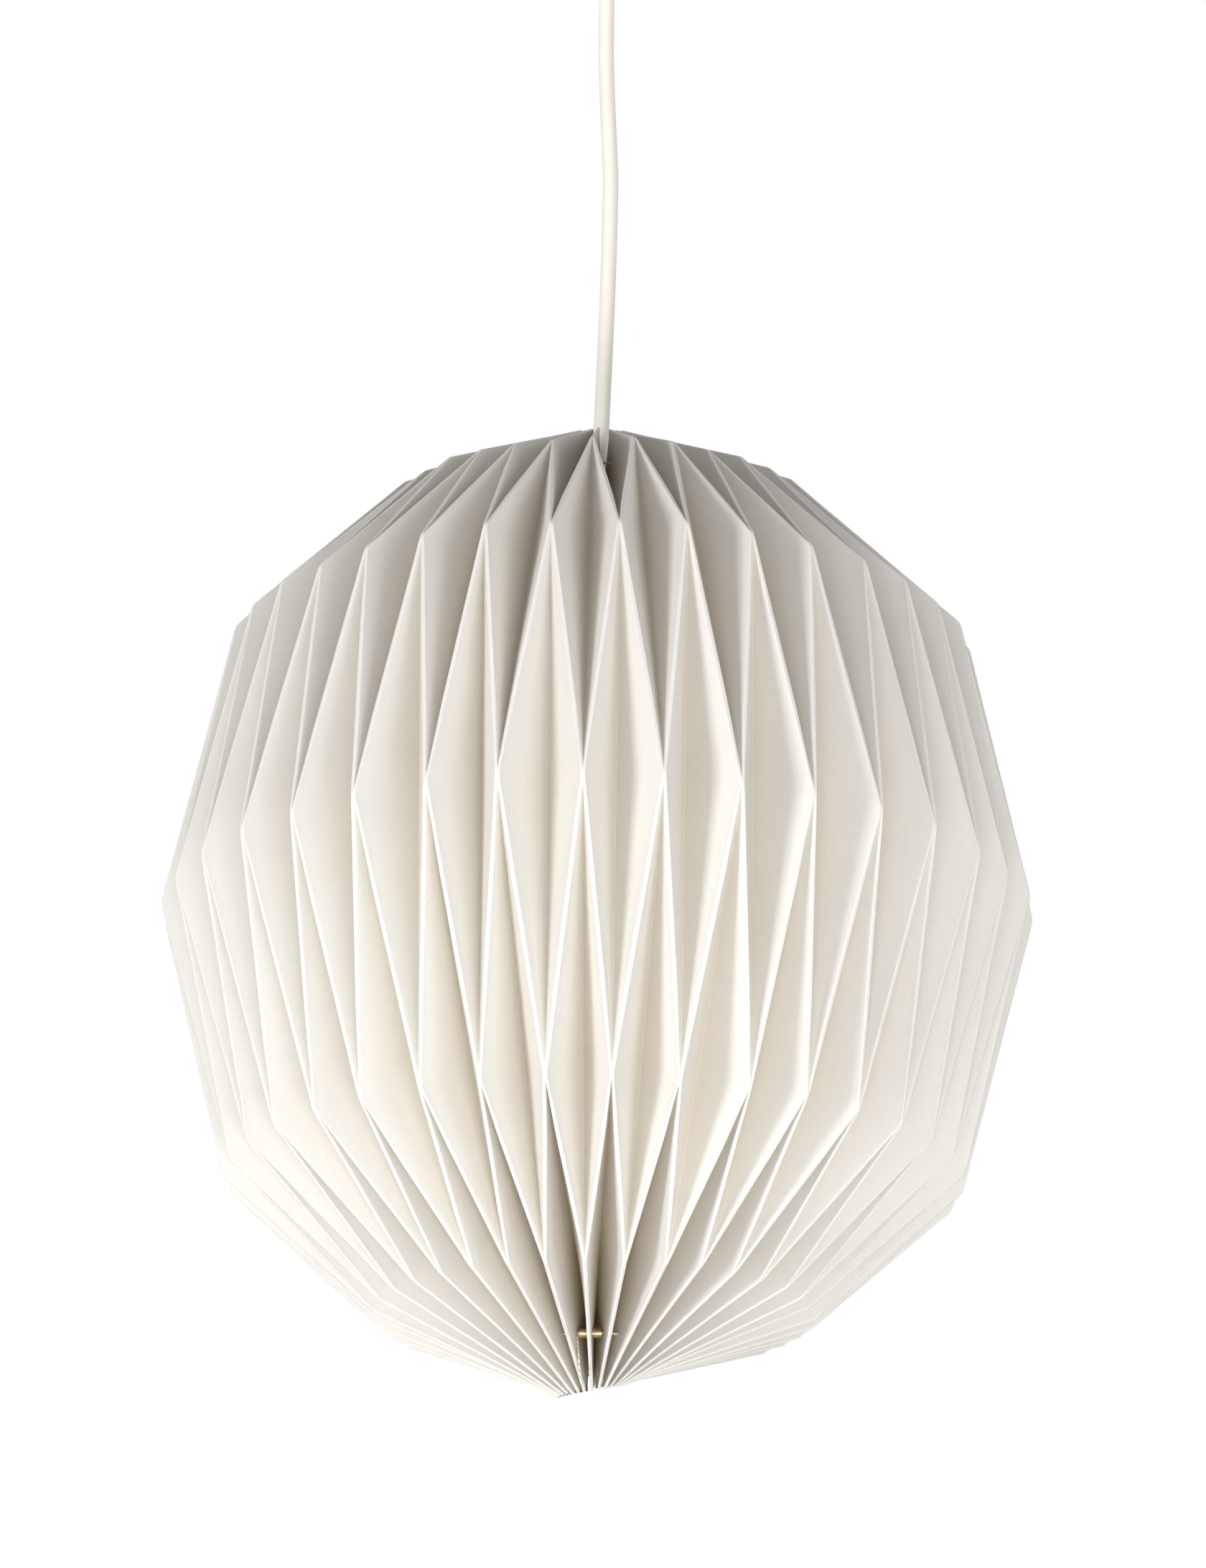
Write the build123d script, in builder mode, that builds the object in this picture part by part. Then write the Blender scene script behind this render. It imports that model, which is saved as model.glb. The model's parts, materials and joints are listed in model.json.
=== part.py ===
from build123d import *
import os
from math import sin, cos, radians

# A pleated paper ball lampshade hanging on a cord from a ceiling cup, with its lampholder
# and E27 lamp. z = 0 is the ceiling, the lamp hangs down the z axis, and the paper seam
# faces -y with +x on its right. Millimetres throughout.

os.makedirs("parts", exist_ok=True)

# ---------------------------------------------------------------- driving dimensions
SHADE_Z = -530.0  # height of the widest part of the paper ball, datum for the lower parts

# pleated paper
PLEATS = 36
HALF_PLEAT = 180.0 / PLEATS  # degrees
LEAVES = 18  # two pleats to a leaf
LEAF_ANGLE = 360.0 / LEAVES
PAPER = 0.25
LEAF_GAP = 0.05  # from a leaf to each side of its sector
TRIM_REACH, TRIM_HALF_HEIGHT = 260.0, 240.0  # sector used for trimming, beyond the paper
# Crease corners from top to bottom as (radius, height above SHADE_Z). Odd columns stand
# at the seam and every whole pleat from it, even columns half a pleat away.
ODD_CORNERS = ((18.0, 225.0), (98.0, 186.5), (190.0, -2.0), (94.0, -181.0), (16.0, -216.0))
EVEN_CORNERS = ((5.5, 197.0), (163.5, 120.5), (159.0, -121.0), (5.5, -187.0))

# draw threads run round both hubs through punched holes
THREAD_RING_R = 36.0
THREAD_TOP, THREAD_BOTTOM = 200.0, -195.8  # above SHADE_Z
THREAD_R, PUNCH_R, TAIL_R = 0.5, 1.0, 0.4
SLEEVE_R, SLEEVE_BORE_R, SLEEVE_L = 2.2, 1.7, 9.4
SLEEVE_CLEARANCE = 0.15

# cord
CORD_R = 3.5
CORD_TOP_Z = -12.0
SHEATH_SETBACK = 0.5  # the sheath stops this far below CORD_TOP_Z
FLEX_Z = -113.0  # the cord sways about here, clear of the cup at its lowest
FLEX_BALL_R, FLEX_SEAT_R = 3.35, 3.45
FLEX_GAP = 1.3  # from FLEX_Z to the cord on either side
CORD_END = 173.0  # above SHADE_Z
LEAD_R, LEAD_X = 1.0, 1.5  # leads leave the cord at +-LEAD_X
LEAD_GAP = 0.1  # from a cord end to its leads

# ceiling bracket and cord anchor
BRACKET_R, BRACKET_T = 42.0, 3.0
FIX_SPACING, FIX_HOLE_R = 60.0, 2.25
SUPPLY_HOLE_R = 8.0
ANCHOR_X, ANCHOR_Y, ANCHOR_WALL = 30.0, 16.0, 2.0
ANCHOR_BOTTOM, ANCHOR_BASE_T = -26.0, 6.0
ANCHOR_SCREW_Z = ANCHOR_BOTTOM + ANCHOR_BASE_T / 2
ANCHOR_SCREW_START = CORD_R + 0.25
ANCHOR_SHANK_L, ANCHOR_HEAD_R, ANCHOR_HEAD_H = 11.6, 2.8, 2.2
SIDE_SCREW_R, SIDE_SCREW_HOLE_R = 1.5, 1.6  # screws that bear on the cord, along x

# terminal block
BLOCK_X, BLOCK_DEPTH, BLOCK_H, BLOCK_CORNER_R = 22.0, 16.0, 12.3, 1.5
BLOCK_Y, BLOCK_Z = 24.0, -BRACKET_T - 6.5  # axis of the wire bores
BLOCK_BELOW = 6.0  # from the bore axis down to the underside
BLOCK_TERMINAL_X = 5.0
WIRE_BORE_R = 1.9
POCKET_R, BLOCK_SCREW_R, BLOCK_SCREW_L = 2.1, 1.95, 3.8
BLOCK_SCREW_Z = BLOCK_Z - BLOCK_BELOW + 0.5

# ceiling cup and its cord grip
CUP_R, CUP_H, CUP_WALL = 50.0, 60.0, 1.4
CUP_TOP_Z = -0.4
CUP_FLOOR_Z = -CUP_H + CUP_WALL
CUP_GRIP_HOLE_R = 6.1
GRIP_TOP, GRIP_BOTTOM = -52.0, -72.0
GRIP_BORE_R, GRIP_STEM_R, GRIP_COLLAR_R = 3.8, 6.0, 8.5
GRIP_SHOULDER_Z = -CUP_H - 0.1
GRIP_SCREW_Z = GRIP_BOTTOM + 5.5
GRIP_SCREW_START, GRIP_SCREW_L = GRIP_BORE_R + 0.15, 4.3
GRIP_SLOT_DEPTH = 1.0
NUT_CORNER_R, NUT_HOLE_R, NUT_H = 9.0, 6.15, 4.0

# lampholder (heights above SHADE_Z)
HOLDER_R, HOLDER_WALL = 20.0, 1.6
GLAND_TOP = 190.0
CAP_TOP, CAP_BOTTOM = 180.0, 150.0
SHELL_TOP, SHELL_BOTTOM = 149.7, 106.0
INSERT_R, INSERT_TOP, INSERT_BOTTOM = 17.6, 166.0, 127.0
SOCKET_R, SOCKET_DEPTH = 14.1, 30.0
SCREW_SHELL_RI, SCREW_SHELL_RO = 13.5, 13.9
SCREW_SHELL_BOTTOM, SCREW_SHELL_TOP = 129.0, 153.0
CONTACT_BOTTOM, CONTACT_T = 153.6, 0.6
HOLDER_TERMINALS = ((-10, 0), (10, 0))
HOLDER_SCREW_R, HOLDER_SCREW_HOLE_R, HOLDER_SCREW_HEAD_R = 1.5, 1.6, 2.6
HOLDER_SCREW_DEPTH, HOLDER_SCREW_HOLE_DEPTH = 6.0, 8.0
HOLDER_HEAD_GAP, HOLDER_HEAD_H = 0.1, 2.4
TERMINAL_SLOT_W = 0.7  # block and holder screws alike

# E27 lamp (heights above SHADE_Z)
TIP_R, TIP_BOTTOM, TIP_H, TIP_FILLET = 4.5, 151.1, 2.2, 0.8
BULB_CAP_R, BULB_CAP_BORE_R = 13.1, 11.9
BULB_CAP_BOTTOM = 124.4
BULB_THREAD_TOP, BULB_THREAD_PITCH, BULB_THREAD_RINGS = 145.8, 3.62, 5
BULB_THREAD_DEPTH = 0.9
BULB_R, BULB_CENTRE, GLASS = 30.0, 77.0, 1.0
FILAMENT_R, FILAMENT_CIRCLE_R, FILAMENT_COUNT = 0.9, 8.0, 4
FILAMENT_BOTTOM, FILAMENT_L = 62.0, 34.4
FRAME_R = 9.2


# ---------------------------------------------------------------- helpers
def up(height):
    """World z of a height above SHADE_Z."""
    return SHADE_Z + height


def export(block, name):
    block.part.label = name
    export_step(block.part, f"parts/{name}.step")


def turned(points, datum=0.0):
    """A solid of revolution about z from (radius, height above datum) corners."""
    with BuildPart() as made:
        with BuildSketch(Plane.XZ):
            with BuildLine():
                Polyline(*[(radius, datum + height) for radius, height in points], close=True)
            make_face()
        revolve(axis=Axis.Z)
    return made


def swept_wire(points, start_dir, end_dir, radius):
    """A round wire along a spline with the given end directions."""
    with BuildPart() as made:
        with BuildLine():
            Spline(*points, tangents=(start_dir, end_dir))
        with BuildSketch(Plane(origin=points[0], z_dir=start_dir)):
            Circle(radius)
        sweep()
    return made


# ---------------------------------------------------------------- pleated paper
def corner(point, angle):
    """A crease corner at an angle from the seam, turning from -y towards +x."""
    radius, height = point
    return Vector(radius * sin(radians(angle)), -radius * cos(radians(angle)), up(height))


def facets(odd_step, even_step):
    """The flat facets between two neighbouring columns, given in half pleats from the seam."""
    odd_top, ring_1, ring_3, ring_5, odd_bottom = (
        corner(point, odd_step * HALF_PLEAT) for point in ODD_CORNERS
    )
    even_top, ring_2, ring_4, even_bottom = (
        corner(point, even_step * HALF_PLEAT) for point in EVEN_CORNERS
    )
    return [
        (odd_top, ring_1, even_top),
        (ring_1, ring_2, even_top),
        (ring_1, ring_3, ring_2),
        (ring_2, ring_3, ring_4),
        (ring_3, ring_5, ring_4),
        (ring_4, ring_5, even_bottom),
        (ring_5, odd_bottom, even_bottom),
    ]


leaf_facets = []
for odd_step, even_step in ((0, 1), (2, 1), (2, 3), (4, 3)):
    leaf_facets += facets(odd_step, even_step)

# one leaf from the seam round to LEAF_ANGLE; every facet is a thin plate on its own plane
with BuildPart() as leaf:
    for first, second, third in leaf_facets:
        edge = second - first
        flat = Plane(origin=first, x_dir=edge, z_dir=edge.cross(third - first))
        with BuildSketch(flat):
            with BuildLine():
                Polyline(
                    *[flat.to_local_coords(point) for point in (first, second, third)],
                    close=True,
                )
            make_face()
        extrude(amount=PAPER / 2, both=True)
    # trimmed to its own sector, whose tip is moved out to leave LEAF_GAP on both sides
    with BuildSketch(Plane.XY.offset(up(-TRIM_HALF_HEIGHT))):
        with BuildLine():
            sector = radians(LEAF_ANGLE)
            tip_radius = LEAF_GAP / sin(sector / 2)
            tip_x = tip_radius * sin(sector / 2)
            tip_y = -tip_radius * cos(sector / 2)
            Polyline(
                (tip_x, tip_y),
                (tip_x, tip_y - TRIM_REACH),
                (tip_x + TRIM_REACH * sin(sector), tip_y - TRIM_REACH * cos(sector)),
                close=True,
            )
        make_face()
    extrude(amount=2 * TRIM_HALF_HEIGHT, mode=Mode.INTERSECT)
    # punched for the two draw threads
    for height in (THREAD_TOP, THREAD_BOTTOM):
        with BuildSketch(Plane.XZ):
            with Locations((THREAD_RING_R, up(height))):
                Circle(PUNCH_R)
        revolve(axis=Axis.Z, mode=Mode.SUBTRACT)

sleeve_plane = Plane(
    origin=(0, -THREAD_RING_R, up(THREAD_BOTTOM)), x_dir=(0, 1, 0), z_dir=(1, 0, 0)
)
for number in range(1, LEAVES // 2 + 1):
    for side, turn in (("right", number - 1), ("left", -number)):
        with BuildPart() as placed:
            add(leaf.part, rotation=(0, 0, turn * LEAF_ANGLE))
            if number == 1:  # the seam pleat is punched for the metal sleeve
                with BuildSketch(sleeve_plane):
                    Circle(SLEEVE_R + SLEEVE_CLEARANCE)
                extrude(amount=4.0, both=True, mode=Mode.SUBTRACT)
        export(placed, f"paper_leaf_{side}_{number}")

# ---------------------------------------------------------------- draw threads
# metal sleeve through the seam pleat
with BuildPart() as sleeve:
    with BuildSketch(sleeve_plane):
        Circle(SLEEVE_R)
        Circle(SLEEVE_BORE_R, mode=Mode.SUBTRACT)
    extrude(amount=SLEEVE_L / 2, both=True)
export(sleeve, "thread_sleeve")

# thread end hanging from the left end of the sleeve; offsets are from the sleeve centre
TAIL_OFFSETS = ((-4.4, -0.5, -0.95), (-5.3, -0.5, -2.6), (-4.6, 1.4, -10), (-3.3, 6.0, -22))
tail_points = [(x, y - THREAD_RING_R, up(THREAD_BOTTOM + z)) for x, y, z in TAIL_OFFSETS]
export(swept_wire(tail_points, (-1, 0, 0), (0.1, 0.5, -1), TAIL_R), "thread_tail")

for name, height in (
    ("draw_thread_top", THREAD_TOP),
    ("draw_thread_bottom", THREAD_BOTTOM),
):
    with BuildPart() as thread:
        with BuildSketch(Plane.XZ):
            with Locations((THREAD_RING_R, up(height))):
                Circle(THREAD_R)
        revolve(axis=Axis.Z)
    export(thread, name)

# ---------------------------------------------------------------- ceiling bracket and anchor
with BuildPart() as bracket:
    with BuildSketch(Plane.XY.offset(-BRACKET_T)):
        Circle(BRACKET_R)
        Circle(SUPPLY_HOLE_R, mode=Mode.SUBTRACT)
        with Locations((-FIX_SPACING / 2, 0), (FIX_SPACING / 2, 0)):
            Circle(FIX_HOLE_R, mode=Mode.SUBTRACT)
    extrude(amount=BRACKET_T)
export(bracket, "ceiling_bracket")

# a strap under the bracket that holds the cord, with a screw hole on its +x side
with BuildPart() as anchor:
    with BuildSketch(Plane.XY.offset(ANCHOR_BOTTOM)):
        Rectangle(ANCHOR_X, ANCHOR_Y)
    extrude(amount=-BRACKET_T - ANCHOR_BOTTOM)
    with BuildSketch(Plane.XY.offset(ANCHOR_BOTTOM + ANCHOR_BASE_T)):
        Rectangle(ANCHOR_X - 2 * ANCHOR_WALL, ANCHOR_Y + 1)
    extrude(amount=40, mode=Mode.SUBTRACT)
    with BuildSketch(Plane.XY.offset(ANCHOR_BOTTOM)):
        Circle(CORD_R + 0.15)
    extrude(amount=ANCHOR_BASE_T + 1, mode=Mode.SUBTRACT)
    with BuildSketch(Plane.YZ):
        with Locations((0, ANCHOR_SCREW_Z)):
            Circle(SIDE_SCREW_HOLE_R)
    extrude(amount=20, mode=Mode.SUBTRACT)
export(anchor, "cord_anchor")

# shank, head, then slot
anchor_head_x = ANCHOR_SCREW_START + ANCHOR_SHANK_L
with BuildPart() as anchor_screw:
    with BuildSketch(Plane.YZ.offset(ANCHOR_SCREW_START)):
        with Locations((0, ANCHOR_SCREW_Z)):
            Circle(SIDE_SCREW_R)
    extrude(amount=ANCHOR_SHANK_L)
    with BuildSketch(Plane.YZ.offset(anchor_head_x)):
        with Locations((0, ANCHOR_SCREW_Z)):
            Circle(ANCHOR_HEAD_R)
    extrude(amount=ANCHOR_HEAD_H)
    with BuildSketch(Plane.YZ.offset(anchor_head_x + 1.2)):
        with Locations((0, ANCHOR_SCREW_Z)):
            Rectangle(7, 0.8)
    extrude(amount=2, mode=Mode.SUBTRACT)
export(anchor_screw, "cord_anchor_screw")

# ---------------------------------------------------------------- terminal block and leads
# two-way block behind the anchor: wire bores along y, screw pockets from below
block_terminals = ((-BLOCK_TERMINAL_X, BLOCK_Y), (BLOCK_TERMINAL_X, BLOCK_Y))
with BuildPart() as block:
    with BuildSketch(Plane.XY.offset(BLOCK_Z - BLOCK_BELOW)):
        with Locations((0, BLOCK_Y)):
            RectangleRounded(BLOCK_X, BLOCK_DEPTH, BLOCK_CORNER_R)
    extrude(amount=BLOCK_H)
    with BuildSketch(Plane.XZ):
        with Locations((-BLOCK_TERMINAL_X, BLOCK_Z), (BLOCK_TERMINAL_X, BLOCK_Z)):
            Circle(WIRE_BORE_R)
    extrude(amount=-40, mode=Mode.SUBTRACT)
    with BuildSketch(Plane.XY.offset(BLOCK_Z - BLOCK_BELOW - 1)):
        with Locations(*block_terminals):
            Circle(POCKET_R)
    extrude(amount=BLOCK_BELOW + 1, mode=Mode.SUBTRACT)
export(block, "terminal_block")

# headless screws, slotted on their undersides
with BuildPart() as block_screws:
    with BuildSketch(Plane.XY.offset(BLOCK_SCREW_Z)):
        with Locations(*block_terminals):
            Circle(BLOCK_SCREW_R)
    extrude(amount=BLOCK_SCREW_L)
    with BuildSketch(Plane.XY.offset(BLOCK_SCREW_Z)):
        with Locations(*block_terminals):
            Rectangle(TERMINAL_SLOT_W, 5)
    extrude(amount=1.0, mode=Mode.SUBTRACT)
export(block_screws, "terminal_block_screws")

# from each cord end: up and back to the terminal block, down and outwards in the holder
for wire, side in (("live", 1), ("neutral", -1)):
    top_points = (
        (side * LEAD_X, 0, CORD_TOP_Z + LEAD_GAP),
        (side * 2.6, 4.5, CORD_TOP_Z + 2.6),
        (side * BLOCK_TERMINAL_X, BLOCK_Y - 6, BLOCK_Z),
    )
    export(swept_wire(top_points, (0, 0.2, 1), (0, 1, 0), LEAD_R), f"lead_{wire}_top")
    bottom_points = (
        (side * LEAD_X, 0, up(CORD_END - LEAD_GAP)),
        (side * 3.2, 0, up(169.4)),
        (side * 6.9, 0, up(167.4)),
    )
    export(swept_wire(bottom_points, (0, 0, -1), (side, 0, 0), LEAD_R), f"lead_{wire}_bottom")

# ---------------------------------------------------------------- cord
# two lengths hollowed at FLEX_Z to take a ball between them
for name, bottom_z, top_z in (
    ("cord_ceiling_end", FLEX_Z + FLEX_GAP, CORD_TOP_Z - SHEATH_SETBACK),
    ("pendant_cord", up(CORD_END), FLEX_Z - FLEX_GAP),
):
    with BuildPart() as cord:
        with BuildSketch(Plane.XY.offset(bottom_z)):
            Circle(CORD_R)
        extrude(amount=top_z - bottom_z)
        with Locations((0, 0, FLEX_Z)):
            Sphere(FLEX_SEAT_R, mode=Mode.SUBTRACT)
    export(cord, name)

with BuildPart() as flex:
    with Locations((0, 0, FLEX_Z)):
        Sphere(FLEX_BALL_R)
export(flex, "cord_flex_section")

# ---------------------------------------------------------------- ceiling cup and cord grip
# (radius, z): down the outside, across the floor, back up the inside
CUP_PROFILE = (
    (CUP_R, CUP_TOP_Z), (CUP_R, -18), (46, -38), (36, -52), (22, -59), (10, -CUP_H),
    (CUP_GRIP_HOLE_R, -CUP_H), (CUP_GRIP_HOLE_R, CUP_FLOOR_Z),
    (9.8, CUP_FLOOR_Z), (21.4, -57.6), (35.2, -50.8), (44.7, -37.4),
    (CUP_R - CUP_WALL, -17.8), (CUP_R - CUP_WALL, CUP_TOP_Z),
)
export(turned(CUP_PROFILE), "ceiling_cup")

# stem through the cup floor with a collar under it
with BuildPart() as grip:
    with BuildSketch(Plane.XY.offset(GRIP_BOTTOM)):
        Circle(GRIP_COLLAR_R)
    extrude(amount=GRIP_SHOULDER_Z - GRIP_BOTTOM)
    with BuildSketch(Plane.XY.offset(GRIP_SHOULDER_Z)):
        Circle(GRIP_STEM_R)
    extrude(amount=GRIP_TOP - GRIP_SHOULDER_Z)
    with BuildSketch(Plane.XY.offset(GRIP_BOTTOM)):
        Circle(GRIP_BORE_R)
    extrude(amount=GRIP_TOP - GRIP_BOTTOM, mode=Mode.SUBTRACT)
    with BuildSketch(Plane.YZ):
        with Locations((0, GRIP_SCREW_Z)):
            Circle(SIDE_SCREW_HOLE_R)
    extrude(amount=12, mode=Mode.SUBTRACT)
export(grip, "cup_cord_grip")

with BuildPart() as grip_screw:
    with BuildSketch(Plane.YZ.offset(GRIP_SCREW_START)):
        with Locations((0, GRIP_SCREW_Z)):
            Circle(SIDE_SCREW_R)
    extrude(amount=GRIP_SCREW_L)
    with BuildSketch(Plane.YZ.offset(GRIP_SCREW_START + GRIP_SCREW_L - GRIP_SLOT_DEPTH)):
        with Locations((0, GRIP_SCREW_Z)):
            Rectangle(4, 0.6)
    extrude(amount=2, mode=Mode.SUBTRACT)
export(grip_screw, "cup_grip_screw")

with BuildPart() as grip_nut:
    with BuildSketch(Plane.XY.offset(CUP_FLOOR_Z + 0.1)):
        RegularPolygon(NUT_CORNER_R, 6)
        Circle(NUT_HOLE_R, mode=Mode.SUBTRACT)
    extrude(amount=NUT_H)
export(grip_nut, "cup_grip_nut")

# ---------------------------------------------------------------- lampholder
# turned profiles as (radius, height above SHADE_Z)
HOLDER_PROFILES = {
    # clamps the cord and passes through the cap
    "holder_cord_gland": (
        (3.75, GLAND_TOP), (7.5, GLAND_TOP), (7.5, CAP_TOP + 0.1),
        (5.3, CAP_TOP + 0.1), (5.3, 174), (3.75, 174),
    ),
    # dished disc that the paper hub rests on
    "shade_support_disc": (
        (4.2, 196.6), (22, 188.3), (22, 187.0),
        (7.8, 193.6), (7.8, GLAND_TOP + 0.15), (4.2, GLAND_TOP + 0.15),
    ),
    "holder_cap": (
        (5.5, CAP_TOP), (12, CAP_TOP), (17.5, 177.5), (HOLDER_R, 172),
        (HOLDER_R, CAP_BOTTOM), (HOLDER_R - HOLDER_WALL, CAP_BOTTOM),
        (HOLDER_R - HOLDER_WALL, 171.5), (16.6, 176),
        (11.7, CAP_TOP - HOLDER_WALL), (5.5, CAP_TOP - HOLDER_WALL),
    ),
    "holder_shell": (
        (HOLDER_R, SHELL_TOP), (HOLDER_R, 112), (HOLDER_R + 1.2, 110),
        (HOLDER_R + 1.2, SHELL_BOTTOM), (HOLDER_R - HOLDER_WALL, SHELL_BOTTOM),
        (HOLDER_R - HOLDER_WALL, SHELL_TOP),
    ),
}
for name, profile in HOLDER_PROFILES.items():
    export(turned(profile, SHADE_Z), name)

with BuildPart() as insert:
    with BuildSketch(Plane.XY.offset(up(INSERT_BOTTOM))):
        Circle(INSERT_R)
    extrude(amount=INSERT_TOP - INSERT_BOTTOM)
    with BuildSketch(Plane.XY.offset(up(INSERT_BOTTOM))):
        Circle(SOCKET_R)
    extrude(amount=SOCKET_DEPTH, mode=Mode.SUBTRACT)
    with BuildSketch(Plane.XY.offset(up(INSERT_TOP - HOLDER_SCREW_HOLE_DEPTH))):
        with Locations(*HOLDER_TERMINALS):
            Circle(HOLDER_SCREW_HOLE_R)
    extrude(amount=HOLDER_SCREW_HOLE_DEPTH, mode=Mode.SUBTRACT)
export(insert, "holder_insert")

with BuildPart() as screw_shell:
    with BuildSketch(Plane.XY.offset(up(SCREW_SHELL_BOTTOM))):
        Circle(SCREW_SHELL_RO)
        Circle(SCREW_SHELL_RI, mode=Mode.SUBTRACT)
    extrude(amount=SCREW_SHELL_TOP - SCREW_SHELL_BOTTOM)
export(screw_shell, "holder_screw_shell")

# a strip with a square pad on top
with BuildPart() as centre_contact:
    with BuildSketch(Plane.XY.offset(up(CONTACT_BOTTOM))):
        RectangleRounded(16, 6, 1)
    extrude(amount=CONTACT_T)
    with BuildSketch(Plane.XY.offset(up(CONTACT_BOTTOM + CONTACT_T))):
        Rectangle(5, 5)
    extrude(amount=2.6)
export(centre_contact, "holder_centre_contact")

# shanks, heads, then slots
with BuildPart() as holder_screws:
    with BuildSketch(Plane.XY.offset(up(INSERT_TOP - HOLDER_SCREW_DEPTH))):
        with Locations(*HOLDER_TERMINALS):
            Circle(HOLDER_SCREW_R)
    extrude(amount=HOLDER_SCREW_DEPTH + HOLDER_HEAD_GAP)
    with BuildSketch(Plane.XY.offset(up(INSERT_TOP + HOLDER_HEAD_GAP))):
        with Locations(*HOLDER_TERMINALS):
            Circle(HOLDER_SCREW_HEAD_R)
    extrude(amount=HOLDER_HEAD_H)
    with BuildSketch(Plane.XY.offset(up(INSERT_TOP + 1.6))):
        with Locations(*HOLDER_TERMINALS):
            Rectangle(TERMINAL_SLOT_W, 6)
    extrude(amount=2, mode=Mode.SUBTRACT)
export(holder_screws, "holder_terminal_screws")

# ---------------------------------------------------------------- E27 lamp
with BuildPart() as tip:
    with BuildSketch(Plane.XY.offset(up(TIP_BOTTOM))):
        Circle(TIP_R)
    extrude(amount=TIP_H)
    fillet(tip.faces().sort_by(Axis.Z)[-1].edges(), TIP_FILLET)
export(tip, "bulb_tip_contact")

# lamp profiles as (radius, height above SHADE_Z)
INSULATOR_PROFILE = ((0, 151.0), (4.8, 151.0), (10.9, 148.1), (10.9, 146), (0, 146))
export(turned(INSULATOR_PROFILE, SHADE_Z), "bulb_insulator")

# rolled screw cap: a thin sleeve with bevelled thread rings
thread_points = []
for ring in range(BULB_THREAD_RINGS):
    ring_top = BULB_THREAD_TOP - ring * BULB_THREAD_PITCH
    thread_points += [
        (BULB_CAP_R - BULB_THREAD_DEPTH, ring_top),
        (BULB_CAP_R, ring_top - 0.9),
        (BULB_CAP_R, ring_top - 1.8),
        (BULB_CAP_R - BULB_THREAD_DEPTH, ring_top - 2.7),
    ]
bulb_cap_profile = [
    (11.2, 148.0),
    (BULB_CAP_R - BULB_THREAD_DEPTH, 147.0),
    *thread_points,
    (BULB_CAP_R - 0.5, 127.6),
    (BULB_CAP_R - 0.5, BULB_CAP_BOTTOM),
    (BULB_CAP_BORE_R, BULB_CAP_BOTTOM),
    (BULB_CAP_BORE_R, 145.7),
]
export(turned(bulb_cap_profile, SHADE_Z), "bulb_screw_cap")

# outer then inner surface: neck radius, top, neck bottom, two flare points, globe radius
GLASS_SURFACES = (
    (11.6, 126.5, 121, (15.5, 106), (24.5, 95.5), BULB_R, Mode.ADD),
    (10.6, 125.5, 120.5, (14.6, 105.4), (23.5, 94.9), BULB_R - GLASS, Mode.SUBTRACT),
)
with BuildPart() as glass:
    for neck_r, top, neck_bottom, upper, lower, globe_r, mode in GLASS_SURFACES:
        with BuildSketch(Plane.XZ):
            with BuildLine():
                Line((0, up(top)), (neck_r, up(top)))
                neck = Line((neck_r, up(top)), (neck_r, up(neck_bottom)))
                flare = Spline(
                    neck @ 1,
                    (upper[0], up(upper[1])),
                    (lower[0], up(lower[1])),
                    (globe_r, up(BULB_CENTRE)),
                    tangents=((0, -1), (0, -1)),
                )
                globe = RadiusArc(flare @ 1, (0, up(BULB_CENTRE - globe_r)), globe_r)
                Line(globe @ 1, (0, up(top)))
            make_face()
        revolve(axis=Axis.Z, mode=mode)
export(glass, "bulb_glass")

STEM_PROFILE = ((0, 125.3), (8, 125.3), (5, 118), (2.2, 110), (2.2, 98), (0, 98))
export(turned(STEM_PROFILE, SHADE_Z), "bulb_stem")

# upper plate, upright rods, lower ring
with BuildPart() as filaments:
    with BuildSketch(Plane.XY.offset(up(96.2))):
        Circle(FRAME_R)
        Circle(1.5, mode=Mode.SUBTRACT)
    extrude(amount=1.6)
    with BuildSketch(Plane.XY.offset(up(FILAMENT_BOTTOM))):
        with PolarLocations(FILAMENT_CIRCLE_R, FILAMENT_COUNT):
            Circle(FILAMENT_R)
    extrude(amount=FILAMENT_L)
    with BuildSketch(Plane.XY.offset(up(FILAMENT_BOTTOM - 1))):
        Circle(FRAME_R)
        Circle(6.8, mode=Mode.SUBTRACT)
    extrude(amount=1.2)
export(filaments, "bulb_filaments")
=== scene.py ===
"""Pleated paper ball lampshade on a cord under a ceiling cup.

Metres, +Z up. The lamp hangs on the z axis with its front towards -Y and its right at +X.
The shade is one ring of pleated paper, cut into nine leaves on each side: leaf 1 is at the
front, leaf 9 at the back. The ring is worked out in millimetres about the ball's widest ring.
"""
import json
import math

import bpy
import numpy as np
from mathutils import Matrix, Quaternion, Vector


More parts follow.
